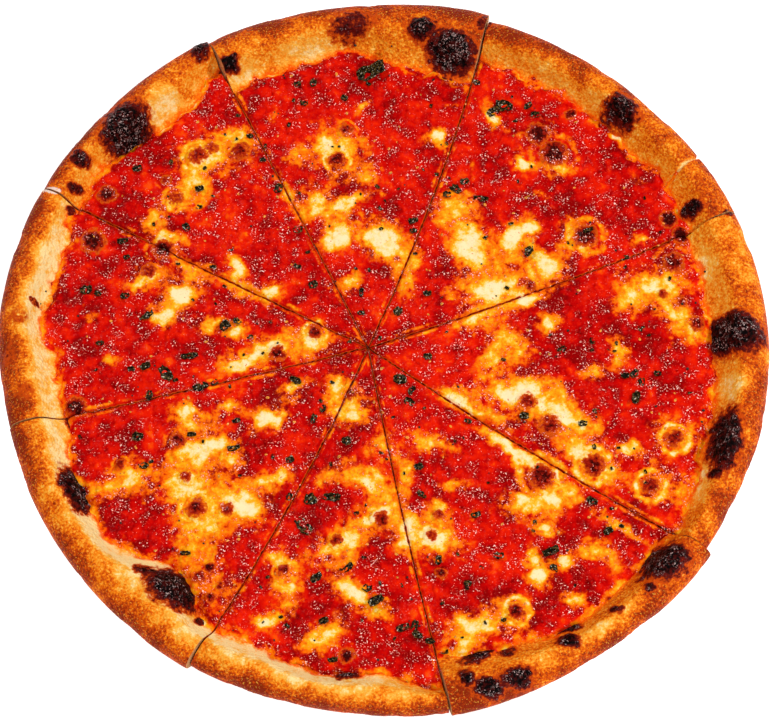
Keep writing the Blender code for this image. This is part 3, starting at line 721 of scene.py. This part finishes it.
def topping_surface(piece, across, radius):
    """x, y, z and layers of the topping, by share across and distance from where the cuts meet."""
    x, y = piece.place(across, radius, TOPPING_GAP)
    from_cut = piece.from_cut(across, radius)
    spill = spill_at(piece, across, radius, x, y)
    toast_and_cut_shade, ring, bubble_relief = bubbles_at(x, y)
    # Along each cut a dark line of painted shade goes into this layer, for the gap between the slices
    toast_and_cut_shade = np.maximum(toast_and_cut_shade, (0.50 + 0.5 * waves(x, y, 1.6, 137)) * ramp(from_cut, 0.5, 0.0))

    # An orange wash also shows round the bubbles, along the cuts and where the sauce thins out.
    pressed = np.exp(-(((from_cut - PRESSED_AT) / PRESSED_WIDTH) ** 2))
    pressed *= 0.6 + 0.9 * rough(x, y, 12.0, 133, 2)
    thinned = ramp(spill, -6.5, 0.0) * (0.75 + 0.7 * waves(x, y, 6.0, 155))
    cheese = cheese_at(x, y)
    for wash in (0.74 * ring, 0.42 * pressed, 0.56 * thinned):
        cheese = np.maximum(cheese, wash)

    bare = 1.0 - ramp(cheese, 0.45, 0.8)
    body = 0.6 * rough(x, y, 13.0, 137, 2)
    wx, wy = x + 0.8 * waves(x, y, 3.6, 141), y + 0.8 * waves(x, y, 3.6, 143)
    heaped = 0.45 + 0.55 * ramp(rough(x, y, 9.0, 147, 2), -0.4, 0.4)
    lump = heaped * (0.62 * domes(wx, wy, LARGE_LUMP, 139) + 0.38 * domes(wx, wy, SMALL_LUMP, 145))
    melt = 0.55 + 0.45 * rough(x, y, 6.0, 151, 2) + 0.15 * lump
    inside = ramp(spill, 1.5, -2.5)
    z = dough_height(piece, across, radius) + mix(SAUCE_DEPTH, SAUCE_EDGE, ramp(spill, -4.5, 2.5))
    z += inside * (body + mix(melt, LUMP_RISE * lump - 0.35, bare) + bubble_relief)
    z -= CUT_DIP * np.exp(-((from_cut / CUT_DIP_WIDTH) ** 2)) * inside
    return x, y, z, {"cheese": cheese, "toast_and_cut_shade": toast_and_cut_shade, "lump": lump}


def topping_shape(piece, across, along):
    return topping_surface(piece, across, mix(TOPPING_TIP, topping_reach(piece, across), along))


def make_topping(piece, finish):
    """A slice's tomato with the mozzarella in it, closed by a flat underside within the dough."""
    columns = round(math.radians(piece.degrees) * TOPPING_GIRTH_RADIUS / TOPPING_STEP)
    rows = round(TOPPING_LENGTH / TOPPING_STEP)
    topping, across, along = grid_piece(
        f"topping_{piece.number}", columns, rows, lambda u, v: topping_shape(piece, u, v)
    )
    select_corners(topping, np.logical_or.reduce([*ends(across), *ends(along)]))
    bpy.ops.mesh.extrude_region_move(TRANSFORM_OT_translate={"value": (0.0, 0.0, -MM)})
    bpy.ops.transform.resize(value=(1.0, 1.0, 0.0), center_override=(0.0, 0.0, TOPPING_FLOOR * MM))
    bpy.ops.mesh.edge_face_add()
    finish_off()
    topping.data.materials.append(finish)
    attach(topping, "root")
    pools = [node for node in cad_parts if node.startswith(f"cheese_{piece.number}")]
    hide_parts(f"sauce_{piece.number}", *pools)


def height_at(x, y):
    """Height of the pizza's upper side at a place."""
    radius = math.hypot(x - CUT_CENTRE[0], y - CUT_CENTRE[1])
    direction = math.atan2(y - CUT_CENTRE[1], x - CUT_CENTRE[0])
    for piece in SLICES:
        low, high = (float(piece.angle(share, radius)) for share in (0.0, 1.0))
        across = (direction - low) % (2 * math.pi) / (high - low)
        if across <= 1.0:
            break
    across, away = np.array([min(across, 1.0)]), np.array([radius])
    height = dough_height(piece, across, away)[0]
    height += blister_relief(np.array([x]), np.array([y]))[0]
    if radius < topping_reach(piece, across)[0] - SAUCE_COVERED:
        height = topping_surface(piece, across, away)[2][0]
    return height


def scattered_places(count, seed, reach=SCATTER_RADIUS):
    """Seeded places over the topping, some of them huddled together."""
    chance = np.random.default_rng(seed)
    places = []
    while len(places) < count:
        x, y = chance.uniform(-reach, reach, 2)
        if math.hypot(x, y) >= reach:
            continue
        huddle = rough(np.array([x]), np.array([y]), HUDDLE_SIZE, seed)[0]
        if huddle > chance.uniform(-0.7, 0.5):
            places.append((x, y, chance.uniform(0.0, 360.0), chance.uniform(0.7, 1.3)))
    return places


def set_down(item, x, y, lift, size, turn_deg, tilt_deg=0.0):
    """Sizes and turns a primitive, and lays it on the pizza with its middle a little above it."""
    item.location = (x * MM, y * MM, (height_at(x, y) + lift) * MM)
    item.rotation_euler = (math.radians(tilt_deg), 0.0, math.radians(turn_deg))
    item.scale = [side * MM for side in size]
    return item


def gather(name, made, finish):
    """Joins the primitives that were added into one piece."""
    bpy.context.view_layer.update()
    bpy.ops.object.select_all(action="DESELECT")
    for each in made:
        each.select_set(True)
    bpy.context.view_layer.objects.active = made[0]
    bpy.ops.object.join()
    piece = bpy.context.object
    bpy.ops.object.transform_apply(location=True, rotation=True, scale=True)
    piece.name = piece.data.name = name
    bpy.ops.object.shade_smooth_by_angle(angle=SMOOTH_UP_TO)
    piece.data.materials.append(finish)
    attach(piece, "root")
    return piece


def make_flakes(finish):
    """Dried leaves, curled along their length and ragged at the edge."""
    chance = np.random.default_rng(41)
    flakes = list(FLAKES)
    for x, y, turn, share in scattered_places(SMALL_FLAKES, 43):
        flakes.append(Flake(x, y, SMALL_FLAKE[0] * share, SMALL_FLAKE[1] * share, turn))
    made = []
    for flake in flakes:
        bpy.ops.mesh.primitive_grid_add(x_subdivisions=6, y_subdivisions=4, size=1.0)
        leaf = bpy.context.object
        corners = np.empty(len(leaf.data.vertices) * 3)
        leaf.data.vertices.foreach_get("co", corners)
        along, side = corners.reshape(-1, 3)[:, :2].T
        taper = np.sqrt(np.clip(1.0 - (1.75 * along) ** 2, 0.05, 1.0))
        edge = side * taper * (1.0 + 0.5 * waves(9 * along, 9 * side, 2.0, len(made)))
        curl = chance.uniform(0.4, 1.6)
        bend = curl * side**2 + 0.35 * along**2 + 0.10 * chance.normal(size=len(side))
        leaf.data.vertices.foreach_set("co", np.column_stack((along, edge, bend)).ravel())
        bpy.ops.object.modifier_add(type="SOLIDIFY")
        leaf.modifiers[0].thickness = 0.10
        bpy.ops.object.modifier_apply(modifier=leaf.modifiers[0].name)
        size = (flake.long, flake.wide, 0.5 * (flake.long + flake.wide))
        tilt = chance.uniform(-22.0, 22.0)
        made.append(set_down(leaf, flake.x, flake.y, FLAKE_LIFT, size, flake.turn_deg, tilt))
    return gather("herb_flakes", made, finish)


def make_grit(finish):
    """Ground pepper: the grains that stand out, and smaller ones between them."""
    chance = np.random.default_rng(53)
    grit = [(x, y, chance.uniform(0, 360), LARGE_GRAIN) for x, y in PEPPERCORNS]
    grit += scattered_places(PEPPER_GRAINS, 59, PEPPER_RADIUS)
    made = []
    for x, y, turn, share in grit:
        bpy.ops.mesh.primitive_ico_sphere_add(subdivisions=1, radius=0.5)
        size = PEPPER_GRAIN * share * chance.uniform(0.6, 1.1, 3)
        tilt = chance.uniform(-40, 40)
        made.append(set_down(bpy.context.object, x, y, PEPPER_LIFT, size, turn, tilt))
    return gather("ground_pepper", made, finish)


def make_seeds(finish):
    """Tomato seeds, half sunk in the sauce."""
    made = []
    for x, y, turn, share in scattered_places(SEEDS, 67):
        if cheese_at(np.array([x]), np.array([y]))[0] > 0.55:
            continue
        bpy.ops.mesh.primitive_uv_sphere_add(segments=8, ring_count=5, radius=0.5)
        size = (SEED[0] * share, SEED[1] * share, SEED[2])
        made.append(set_down(bpy.context.object, x, y, SEED_LIFT, size, turn))
    return gather("tomato_seeds", made, finish)


class Nodes:
    """A short way to lay out a material's nodes."""

    def __init__(self, name):
        self.material = bpy.data.materials.new(name)
        self.material.use_nodes = True
        self.tree = self.material.node_tree
        self.shader = self.tree.nodes["Principled BSDF"]
        self.where = self.tree.nodes.new("ShaderNodeTexCoord").outputs["Object"]

    def node(self, kind, **sockets):
        """A new node, with values or links for the inputs that are named."""
        made = self.tree.nodes.new(kind)
        for name, value in sockets.items():
            self.give(made.inputs[name.replace("_", " ")], value)
        return made

    def give(self, socket, value):
        """Links an output to the input, or sets its value. A colour may be three numbers."""
        if isinstance(value, bpy.types.NodeSocket):
            self.tree.links.new(value, socket)
        elif socket.type == "RGBA" and len(value) == 3:
            socket.default_value = (*value, 1.0)
        else:
            socket.default_value = value

    def layer(self, name):
        """A value that the mesh carries at each corner."""
        made = self.tree.nodes.new("ShaderNodeAttribute")
        made.attribute_name = name
        return made.outputs["Fac"]

    def noise(self, size_mm, detail=3.0, roughness=0.55):
        scale = 1.0 / (size_mm * MM)
        made = self.node(
            "ShaderNodeTexNoise", Vector=self.where, Scale=scale, Detail=detail, Roughness=roughness
        )
        return made.outputs["Fac"]

    def cells(self, size_mm):
        made = self.node("ShaderNodeTexVoronoi", Vector=self.where, Scale=1.0 / (size_mm * MM))
        return made.outputs["Distance"]

    def math(self, operation, *values):
        made = self.tree.nodes.new("ShaderNodeMath")
        made.operation = operation
        for socket, value in zip(made.inputs, values):
            self.give(socket, value)
        return made.outputs[0]

    def shifted(self, value, noise, amount):
        """value plus or minus a share of a noise that runs from 0 to 1."""
        return self.math("ADD", value, self.math("MULTIPLY", self.math("SUBTRACT", noise, 0.5), 2 * amount))

    def strokes(self, size_mm):
        """1 along short, curved strokes and 0 elsewhere."""
        line = self.math("ABSOLUTE", self.math("SUBTRACT", self.noise(size_mm, 1.0), 0.5))
        broken = self.between(self.noise(1.37 * size_mm, 2.0), 0.52, 0.60)
        return self.math("MULTIPLY", self.between(line, 0.045, 0.015), broken)

    def between(self, value, low, high):
        """0 up to low and 1 from high, smoothly between."""
        made = self.node("ShaderNodeMapRange", Value=value)
        made.interpolation_type = "SMOOTHSTEP"
        self.give(made.inputs["From Min"], low)
        self.give(made.inputs["From Max"], high)
        return made.outputs["Result"]

    def colours(self, value, *stops):
        made = self.node("ShaderNodeValToRGB", Fac=value)
        band = made.color_ramp
        while len(band.elements) < len(stops):
            band.elements.new(1.0)
        for element, (position, colour) in zip(band.elements, stops):
            element.position = position
            element.color = (*colour, 1.0)
        return made.outputs["Color"]

    def blend(self, a, b, share):
        """Colour a at share 0 and colour b at share 1."""
        made = self.tree.nodes.new("ShaderNodeMix")
        made.data_type = "RGBA"
        self.give(made.inputs["Factor"], share)
        self.give(made.inputs["A"], a)
        self.give(made.inputs["B"], b)
        return made.outputs["Result"]

    def bump(self, height, depth_mm, strength=1.0):
        made = self.node("ShaderNodeBump", Height=height, Distance=depth_mm * MM, Strength=strength)
        return made.outputs["Normal"]

    def finish(self, **sockets):
        for name, value in sockets.items():
            self.give(self.shader.inputs[name.replace("_", " ")], value)
        return self.material


FLOUR = (0.90, 0.66, 0.56)
PALE_DOUGH = (1.0, 0.74, 0.32)
STRAW_DOUGH = (0.97, 0.46, 0.055)
GOLDEN_DOUGH = (0.92, 0.25, 0.008)
TAN_DOUGH = (0.78, 0.135, 0.003)
BROWN_DOUGH = (0.58, 0.062, 0.003)
DARK_DOUGH = (0.26, 0.020, 0.003)
SINGED = (0.66, 0.085, 0.003)
CHAR_BLACK = (0.003, 0.0015, 0.0015)
CHAR_RED = (0.12, 0.006, 0.004)
CHAR_GLINT = (0.64, 0.44, 0.41)
DARKER_CRUMB_IN_SHADE = (0.48, 0.19, 0.05)
CRUMB_IN_SHADE = (0.70, 0.36, 0.13)

CRIMSON = (0.26, 0.0006, 0.0012)
TOMATO_RED = (0.55, 0.0014, 0.0010)
BRIGHT_RED = (0.80, 0.012, 0.0010)
ORANGE_RED = (0.90, 0.075, 0.0015)
ORANGE = (0.94, 0.19, 0.002)
AMBER = (0.96, 0.41, 0.007)
YELLOW = (0.97, 0.52, 0.040)
CREAM = (0.97, 0.63, 0.18)
MILKY = (0.97, 0.77, 0.42)
TOASTED = (0.36, 0.010, 0.003)
BURNT = (0.040, 0.0018, 0.0015)
# Colours of the painted highlights on the sauce
GLINT_HALO = (0.90, 0.13, 0.075)
GLINT = (1.0, 0.72, 0.63)

HERB_BLACK = (0.004, 0.003, 0.002)
HERB_OLIVE = (0.028, 0.018, 0.005)
HERB_STRAW = (0.20, 0.115, 0.03)
HERB_GLINT = (0.75, 0.70, 0.56)
PEPPER_BLACK = (0.02, 0.014, 0.010)
SEED_GOLD = (0.92, 0.30, 0.03)


def dough_finish():
    """Baked skin, from pale to dark, with sauce stains, flour and charred spots."""
    n = Nodes("baked_dough")
    fine, grain = n.noise(1.1, 2.0, 0.6), n.noise(3.5, 3.0, 0.6)
    bake = n.layer("bake")
    speckle = n.math("MULTIPLY_ADD", n.between(bake, 0.10, 0.60), 1.0, 0.45)
    bake = n.shifted(n.math("MULTIPLY_ADD", n.shifted(0.0, fine, 0.5), speckle, bake), grain, 0.36)
    skin = n.colours(
        bake,
        (0.0, PALE_DOUGH),
        (0.18, STRAW_DOUGH),
        (0.38, GOLDEN_DOUGH),
        (0.54, TAN_DOUGH),
        (0.72, BROWN_DOUGH),
        (1.0, DARK_DOUGH),
    )
    stain = n.shifted(n.shifted(n.layer("stain"), grain, 0.6), fine, 0.3)
    skin = n.blend(skin, ORANGE, n.math("MULTIPLY", n.between(stain, 0.30, 0.80), 0.7))
    skin = n.blend(skin, ORANGE_RED, n.math("MULTIPLY", n.between(stain, 0.65, 1.0), 0.8))
    skin = n.blend(skin, FLOUR, n.between(n.shifted(n.layer("flour"), fine, 0.6), 0.4, 0.6))
    glint = n.between(n.noise(0.8, 2.0, 0.6), 0.60, 0.68)
    char = n.layer("char")
    near = n.math("MULTIPLY", n.between(char, 0.05, 0.35), n.between(char, 1.0, 0.7))
    broken = n.shifted(n.shifted(0.0, n.noise(2.6, 3.0, 0.6), 0.60), fine, 0.25)
    char = n.math("MULTIPLY_ADD", broken, near, char)
    # Painted highlights: pale glints on the baked skin, away from the charred spots
    painted_glints = n.math("MULTIPLY", n.math("MULTIPLY", glint, 0.7), n.between(char, 0.3, 0.0))
    skin = n.blend(skin, STRAW_DOUGH, painted_glints)
    skin = n.blend(skin, BROWN_DOUGH, n.between(char, 0.06, 0.28))
    skin = n.blend(skin, CHAR_RED, n.between(char, 0.26, 0.50))
    embers = n.between(n.noise(1.6, 2.0, 0.6), 0.44, 0.62)
    black = n.blend(CHAR_BLACK, CHAR_RED, n.math("MULTIPLY", embers, 0.38))
    # Painted highlights on the charred spots: glints and short glossy strokes, in clusters
    lit = n.math("MAXIMUM", n.math("MULTIPLY", n.strokes(1.5), 0.6), glint)
    black = n.blend(black, CHAR_GLINT, n.math("MULTIPLY", lit, n.between(n.noise(5.0, 2.0), 0.40, 0.58)))
    skin = n.blend(skin, black, n.between(char, 0.50, 0.80))
    pits = n.bump(n.noise(1.3, 1.0), 0.8, 0.9)
    return n.finish(Base_Color=skin, Roughness=0.4, Normal=pits, Specular_IOR_Level=0.02)


def crumb_finish():
    """The inside of the dough, which shows in the cuts, in browns darker than the crumb itself: painted
    shade of the narrow cuts.
    """
    n = Nodes("cut_crumb")
    skin = n.colours(n.noise(2.5, 4.0), (0.3, DARKER_CRUMB_IN_SHADE), (0.7, CRUMB_IN_SHADE))
    return n.finish(Base_Color=skin, Roughness=0.85, Normal=n.bump(n.cells(1.6), 0.8))


def topping_finish():
    """Crushed tomato, the mozzarella melted into it, and its toasted bubbles."""
    n = Nodes("tomato_and_mozzarella")
    fine, speck = n.noise(1.0, 2.0, 0.6), n.noise(2.6, 3.0, 0.6)
    clots, broad = n.noise(6.0, 3.0, 0.55), n.noise(16.0, 2.0)
    # Clots of pulp are darker, and painted highlights cluster on them.
    ripeness_and_lump_shade = n.shifted(n.shifted(n.shifted(0.42, broad, 0.8), clots, 0.8), fine, 0.10)
    # The lump layer paints light on the tops of the lumps and shade in the hollows between them
    ripeness_and_lump_shade = n.shifted(n.shifted(ripeness_and_lump_shade, speck, 0.20), n.layer("lump"), 0.15)
    red = n.colours(ripeness_and_lump_shade, (0.12, CRIMSON), (0.42, TOMATO_RED), (0.76, BRIGHT_RED), (1.05, ORANGE_RED))
    covered = n.layer("cheese")
    jitter = n.shifted(n.shifted(n.shifted(0.0, speck, 0.40), fine, 0.15), clots, 0.35)
    calmer = n.math("MULTIPLY_ADD", n.between(covered, 0.6, 1.0), -0.15, 1.0)
    share = n.math("MULTIPLY", n.between(covered, 0.0, 0.40), calmer)
    cheese = n.math("MULTIPLY_ADD", jitter, share, covered)
    melt = n.colours(
        cheese,
        (0.26, ORANGE_RED),
        (0.48, ORANGE),
        (0.66, AMBER),
        (0.72, YELLOW),
        (0.77, CREAM),
        (0.91, MILKY),
    )
    skin = n.blend(red, melt, n.between(cheese, 0.20, 0.45))
    pores = n.math("MULTIPLY", n.between(n.noise(1.5, 1.0), 0.70, 0.77), n.between(cheese, 0.4, 0.6))
    skin = n.blend(skin, SINGED, n.math("MULTIPLY", pores, 0.8))
    creases = n.noise(1.6, 2.0, 0.6)
    wrinkled = n.shifted(n.shifted(0.0, creases, 0.60), speck, 0.25)
    toast_and_cut_shade = n.math("MULTIPLY_ADD", wrinkled, n.between(n.layer("toast_and_cut_shade"), 0.0, 0.25), n.layer("toast_and_cut_shade"))
    # Toasted bubbles, and the painted shade along the cuts, go from singed through toasted to burnt
    skin = n.blend(skin, SINGED, n.between(toast_and_cut_shade, 0.02, 0.22))
    skin = n.blend(skin, TOASTED, n.between(toast_and_cut_shade, 0.16, 0.55))
    skin = n.blend(skin, BURNT, n.between(toast_and_cut_shade, 0.44, 0.88))
    # Painted highlights: pale glints with a pink halo, painted into the colour, thickest on the dark clots
    glint_clusters = n.math("MULTIPLY", n.between(clots, 0.55, 0.42), n.between(cheese, 0.80, 0.40))
    domed = n.between(n.layer("toast_and_cut_shade"), 0.2, 0.4)
    glint_noise = n.math("MULTIPLY_ADD", glint_clusters, 0.10, n.noise(0.75, 2.0, 0.6))
    glint = n.between(glint_noise, 0.714, 0.754)
    skin = n.blend(skin, GLINT_HALO, n.math("MULTIPLY", n.between(glint_noise, 0.64, 0.71), 0.50))
    skin = n.blend(skin, GLINT, glint)
    pulp = n.bump(n.noise(1.6, 1.0), 0.6, n.math("MULTIPLY_ADD", domed, -0.6, 0.8))
    shine = n.math("MULTIPLY_ADD", glint, 0.3, 0.02)
    return n.finish(Base_Color=skin, Roughness=0.2, Normal=pulp, Specular_IOR_Level=shine)


def herb_finish():
    n = Nodes("dried_herb")
    skin = n.colours(n.noise(1.1, 2.0), (0.40, HERB_BLACK), (0.54, HERB_OLIVE), (0.68, HERB_STRAW))
    # Painted highlights: pale glints painted on the dark leaves
    skin = n.blend(skin, HERB_GLINT, n.between(n.noise(0.9, 2.0, 0.6), 0.62, 0.68))
    return n.finish(Base_Color=skin, Roughness=0.4, Specular_IOR_Level=0.05)


def plain_finish(name, colour, roughness):
    """One colour, mottled with a darker one."""
    n = Nodes(name)
    skin = n.blend(colour, [0.45 * c for c in colour], n.between(n.noise(0.7, 2.0), 0.45, 0.6))
    return n.finish(Base_Color=skin, Roughness=roughness, Specular_IOR_Level=0.4)


# Studio and camera, in metres
WHITE = (1.0, 1.0, 1.0, 1.0)
FLOOR_GREY = (0.85, 0.85, 0.85, 1.0)
FLOOR_GLOW = 0.7
FLOOR_SIDE = 6.0
FLOOR_DROP = 0.0004
SKY_STRENGTH = 0.24
LAMP_SIZE = 0.12
Lamp = namedtuple("Lamp", "name place power")
LAMPS = [
    Lamp("key", (1.1, 0.15, 1.1), 11.5),
    Lamp("front", (0.1, -1.0, 1.0), 7.5),
    Lamp("back", (-0.6, 0.75, 1.1), 8.0),
]
CAMERA_ELEVATION = math.radians(68.5)
CAMERA_DISTANCE = 1.05
CAMERA_AIM = (0.0005, -0.0091, 0.008)
LENS_MM = 113.7
SENSOR_MM = 36.0


def make_stage():
    """A plain pale floor that glows a little, so that it comes out white."""
    bpy.ops.object.select_all(action="DESELECT")
    bpy.ops.mesh.primitive_plane_add(size=FLOOR_SIDE, location=(0.0, 0.0, -FLOOR_DROP))
    floor = bpy.context.object
    floor.name = "floor"
    n = Nodes("pale_floor")
    n.finish(Base_Color=FLOOR_GREY, Roughness=0.9, Emission_Color=WHITE, Emission_Strength=FLOOR_GLOW)
    floor.data.materials.append(n.material)


def make_lights():
    """Three soft lamps aimed at the pizza, strongest from the right, and a faint white sky."""
    world = bpy.data.worlds.new("studio")
    world.use_nodes = True
    sky = world.node_tree.nodes["Background"]
    sky.inputs["Color"].default_value = WHITE
    sky.inputs["Strength"].default_value = SKY_STRENGTH
    bpy.context.scene.world = world
    for lamp in LAMPS:
        data = bpy.data.lights.new(lamp.name, "AREA")
        data.shape = "DISK"
        data.size = LAMP_SIZE
        data.energy = lamp.power
        light = bpy.data.objects.new(lamp.name, data)
        bpy.context.scene.collection.objects.link(light)
        light.location = lamp.place
        light.rotation_euler = (-Vector(lamp.place)).to_track_quat("-Z", "Y").to_euler()


def make_camera():
    """The photograph's view, from the front and high above the horizon."""
    data = bpy.data.cameras.new("photograph")
    data.lens = LENS_MM
    data.sensor_width = SENSOR_MM
    camera = bpy.data.objects.new("photograph", data)
    bpy.context.scene.collection.objects.link(camera)
    back, up = CAMERA_DISTANCE * math.cos(CAMERA_ELEVATION), CAMERA_DISTANCE * math.sin(CAMERA_ELEVATION)
    camera.location = (CAMERA_AIM[0], CAMERA_AIM[1] - back, CAMERA_AIM[2] + up)
    camera.rotation_euler = (math.pi / 2 - CAMERA_ELEVATION, 0.0, 0.0)
    bpy.context.scene.camera = camera


bpy.context.scene.view_settings.view_transform = "Standard"
dough_finishes = (dough_finish(), crumb_finish())
topping = topping_finish()
make_flakes(herb_finish())
make_grit(plain_finish("black_pepper", PEPPER_BLACK, 0.4))
make_seeds(plain_finish("tomato_seed", SEED_GOLD, 0.2))
for piece in SLICES:
    make_dough(piece, dough_finishes)
    make_topping(piece, topping)
make_stage()
make_lights()
make_camera()
